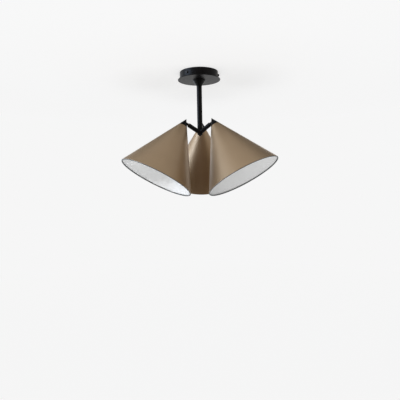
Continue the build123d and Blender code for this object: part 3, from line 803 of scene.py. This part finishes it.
# Ceiling plate, its lugs, the terminal block and the stem's lock nut: node, finish, broken edge
fittings = {
    "ceilingPlate": ("ceiling_plate", "zinc_steel", 0.2),
    "sideLugs": ("side_lugs", "zinc_steel", 0.2),
    "terminalBlock": ("terminal_block", "white_nylon", 0.3),
    "stemNut": ("stem_nut", "zinc_steel", 0.25),
}
for name, fitting in fittings.items():
    softCopy(name, *fitting)
print("fittings made")


# Ceiling, floor, world and lamps
room = {
    "ceiling": 0.4, "floor": -2400, "width": 16000, "pale": 0.922,
    "worldLight": 0.47, "worldColour": (0.98, 0.99, 1.0), "aim": (0, 0, -0.2),
    # the share of true light kept and what it comes to, and the metres from the canopy over which it ends
    "shares": {"ceiling": (0.42, 0.268), "floor": (0.10, 0.058)},
    "fades": {"ceiling": (0.12, 1.1), "floor": (2.5, 8.0)},
}
# plain cards that only reflections see: centre, width and height in metres, brightness, colour
cards = {
    "frontCard": ((0.5, -2.6, -0.2), 5.0, 2.4, 0.27, (1, 0.70, 0.54)),
    "lowCard": ((0.3, -1.7, -2.1), 5.0, 2.6, 0.08, (1, 0.9, 0.8)),
    "rightCard": ((2.6, -0.6, -0.2), 4.4, 2.6, 0.7, (1, 0.94, 0.88)),
    "leftCard": ((-2.4, 0.6, -0.3), 5.0, 1.7, 1.7, (0.92, 1.0, 1.14)),
    "keyCard": ((-2.04, -1.08, 0.42), 1.5, 1.2, 5.6, (0.82, 1.0, 1.3)),
    "backCard": ((0.44, 2.5, 0.34), 2.4, 0.9, 1.7, (1, 0.95, 0.9)),
    "upperCard": ((0.3, 1.8, 1.8), 4.6, 2.8, 0.24, (1, 1, 1)),
}
lamps = {  # place and width in metres, power, colour
    "keyLamp": ((-1.955, -1.128, 0.47), 0.45, 26, (0.98, 1.0, 1.03)),
    "lowLamp": ((0.15, -1.45, -2.3), 1.3, 19, (1, 1, 1)),
}


def paleSurface(name, height, facing):
    # pale to the camera, with a share of true light near the canopy so that it keeps soft shadows
    mesh = bmesh.new()
    bmesh.ops.create_grid(mesh, x_segments=1, y_segments=1, size=room["width"] / 2 * mm)
    bmesh.ops.translate(mesh, vec=(0, 0, height * mm), verts=mesh.verts)
    if facing < 0:
        bmesh.ops.reverse_faces(mesh, faces=mesh.faces)
    data = bpy.data.meshes.new(name)
    mesh.to_mesh(data)
    mesh.free()
    material = bpy.data.materials.new(name + "Pale")
    material.use_nodes = True
    tree = material.node_tree
    tree.nodes.remove(tree.nodes["Principled BSDF"])
    glow, matt = addNode(tree, "Emission"), addNode(tree, "BsdfDiffuse")
    kept, lit = room["shares"][name]
    distance = addNode(tree, "VectorMath", operation="LENGTH")
    link(tree, addNode(tree, "TexCoord").outputs["Object"], distance.inputs[0])
    nearness = spread(tree, distance.outputs["Value"], 1.0, 0.0, *room["fades"][name])
    glow.inputs["Color"].default_value = (1, 1, 1, 1)
    shown = mathNode(tree, "SUBTRACT", room["pale"], mathNode(tree, "MULTIPLY", nearness, lit))
    link(tree, shown, glow.inputs["Strength"])
    link(tree, mathNode(tree, "MULTIPLY", nearness, kept), matt.inputs["Color"])
    both, sided = addNode(tree, "AddShader"), addNode(tree, "MixShader")
    clear = addNode(tree, "BsdfTransparent")
    link(tree, glow.outputs[0], both.inputs[0])
    link(tree, matt.outputs[0], both.inputs[1])
    link(tree, addNode(tree, "NewGeometry").outputs["Backfacing"], sided.inputs[0])
    link(tree, both.outputs[0], sided.inputs[1])
    link(tree, clear.outputs[0], sided.inputs[2])
    link(tree, sided.outputs[0], tree.nodes["Material Output"].inputs["Surface"])
    data.materials.append(material)
    surface = bpy.data.objects.new(name, data)
    surface.visible_diffuse = surface.visible_glossy = False
    surface.visible_transmission = surface.visible_shadow = False
    scene.collection.objects.link(surface)


def aimed(place):
    # a place whose -z looks at the cones
    turn = (Vector(room["aim"]) - Vector(place)).to_track_quat("-Z", "Y")
    return Matrix.Translation(place) @ turn.to_matrix().to_4x4()


def addCard(name, centre, width, height, brightness, colour):
    mesh = bmesh.new()
    bmesh.ops.create_grid(mesh, x_segments=1, y_segments=1, size=0.5)
    bmesh.ops.scale(mesh, vec=(width, height, 1), verts=mesh.verts)
    mesh.transform(aimed(centre))
    data = bpy.data.meshes.new(name)
    mesh.to_mesh(data)
    mesh.free()
    material = bpy.data.materials.new(name + "Grey")
    material.use_nodes = True
    tree = material.node_tree
    tree.nodes.remove(tree.nodes["Principled BSDF"])
    glow = addNode(tree, "Emission")
    glow.inputs["Color"].default_value = (*colour, 1)
    glow.inputs["Strength"].default_value = brightness
    link(tree, glow.outputs[0], tree.nodes["Material Output"].inputs["Surface"])
    data.materials.append(material)
    card = bpy.data.objects.new(name, data)
    card.visible_camera = card.visible_diffuse = card.visible_transmission = card.visible_shadow = False
    scene.collection.objects.link(card)


def makeWorld():
    world = bpy.data.worlds.new("studio")
    scene.world = world
    world.use_nodes = True
    tree = world.node_tree
    seen, light = tree.nodes["Background"], addNode(tree, "Background")
    seen.inputs["Color"].default_value = (1, 1, 1, 1)
    seen.inputs["Strength"].default_value = room["pale"]
    light.inputs["Color"].default_value = (*room["worldColour"], 1)
    light.inputs["Strength"].default_value = room["worldLight"]
    path, choose = addNode(tree, "LightPath"), addNode(tree, "MixShader")
    straight = mathNode(tree, "MAXIMUM", path.outputs["Is Camera Ray"], path.outputs["Is Glossy Ray"])
    straight = mathNode(tree, "MAXIMUM", straight, path.outputs["Is Transmission Ray"])
    link(tree, straight, choose.inputs[0])
    link(tree, light.outputs[0], choose.inputs[1])
    link(tree, seen.outputs[0], choose.inputs[2])
    link(tree, choose.outputs[0], tree.nodes["World Output"].inputs["Surface"])


def addLamp(name, place, width, power, colour):
    # the cards stand for the lamps in reflections
    lamp = bpy.data.lights.new(name, "AREA")
    lamp.shape, lamp.size, lamp.size_y = "RECTANGLE", width, width
    lamp.energy, lamp.color = power, colour
    lampObject = bpy.data.objects.new(name, lamp)
    lampObject.matrix_world = aimed(place)
    lampObject.visible_camera = lampObject.visible_glossy = False
    scene.collection.objects.link(lampObject)


paleSurface("ceiling", room["ceiling"], -1)
paleSurface("floor", room["floor"], 1)
makeWorld()
for name, card in cards.items():
    addCard(name, *card)
for name, lamp in lamps.items():
    addLamp(name, *lamp)
scene.view_settings.view_transform = "Standard"
print("studio made")
